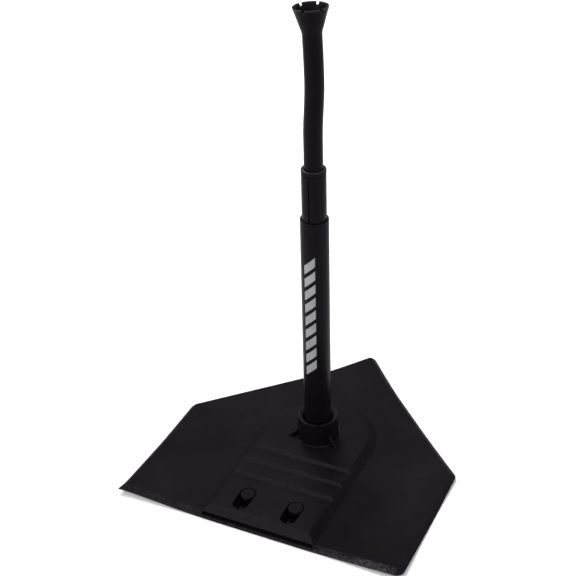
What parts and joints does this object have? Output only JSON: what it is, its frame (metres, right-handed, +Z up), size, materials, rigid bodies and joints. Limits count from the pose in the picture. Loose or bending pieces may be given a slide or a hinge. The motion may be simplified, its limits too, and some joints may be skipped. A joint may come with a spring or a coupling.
{
  "type": "batting tee",
  "caption": "Rubber home plate base with a ribbed sliding socket, a telescoping tube mast and a flexible rubber stem ending in a notched ball cup.",
  "frame": {"origin": "on the floor under the middle of the base's outline", "axes": "+Z up the mast; -Y towards the plate's straight front edge and +Y towards its rear point; +X to the right when facing +Y"},
  "size_m": [0.432, 0.4305, 0.6887],
  "materials": {
    "plate_rubber": "matt moulded rubber with faint mottling and scuffed edges",
    "cover_rubber": "matt moulded rubber",
    "socket_plastic": "moulded black plastic",
    "tube_plastic": "extruded black plastic with a soft sheen",
    "sleeve_plastic": "black plastic with a soft sheen",
    "stem_rubber": "smooth black rubber",
    "zinc_steel": "zinc-plated steel"
  },
  "bodies": {
    "plate": {"home_plate": "plate_rubber", "guide_peg_left": "cover_rubber", "guide_peg_right": "cover_rubber", "peg_screw_left": "zinc_steel", "peg_screw_right": "zinc_steel", "peg_washer_left": "zinc_steel", "peg_washer_right": "zinc_steel"},
    "socket": {"socket_cover": "cover_rubber", "socket_carrier": "socket_plastic", "cover_screw_1": "zinc_steel", "cover_screw_2": "zinc_steel", "cover_screw_3": "zinc_steel", "cover_screw_4": "zinc_steel", "cover_screw_5": "zinc_steel", "cover_screw_6": "zinc_steel"},
    "tube": {"lower_tube": "tube_plastic", "tube_foot_plug": "socket_plastic"},
    "sleeve": {"upper_sleeve": "sleeve_plastic", "sleeve_cap": "sleeve_plastic"},
    "stem": {"rubber_stem": "stem_rubber", "stem_stop_plug": "socket_plastic"},
    "tip": {"stem_tip": "stem_rubber"}
  },
  "joints": [
    {"name": "socket_slide", "type": "slide", "parent": "plate", "child": "socket", "axis": [0, 1, 0], "range_m": [0, 0.0235]},
    {"name": "tube_lift", "type": "slide", "parent": "socket", "child": "tube", "axis": [0, 0, 1], "range_m": [0, 0.065]},
    {"name": "sleeve_slide", "type": "slide", "parent": "tube", "child": "sleeve", "axis": [0, 0, 1], "range_m": [-0.065, 0.1]},
    {"name": "stem_slide", "type": "slide", "parent": "sleeve", "child": "stem", "axis": [0, 0, 1], "range_m": [-0.06, 0.079]},
    {"name": "stem_flex", "type": "hinge", "parent": "stem", "child": "tip", "pos_m": [0, -0.00035, 0.58], "axis": [1, 0, 0], "range_deg": [-30, 30], "stiffness_Nm_per_rad": 1.2}
  ]
}
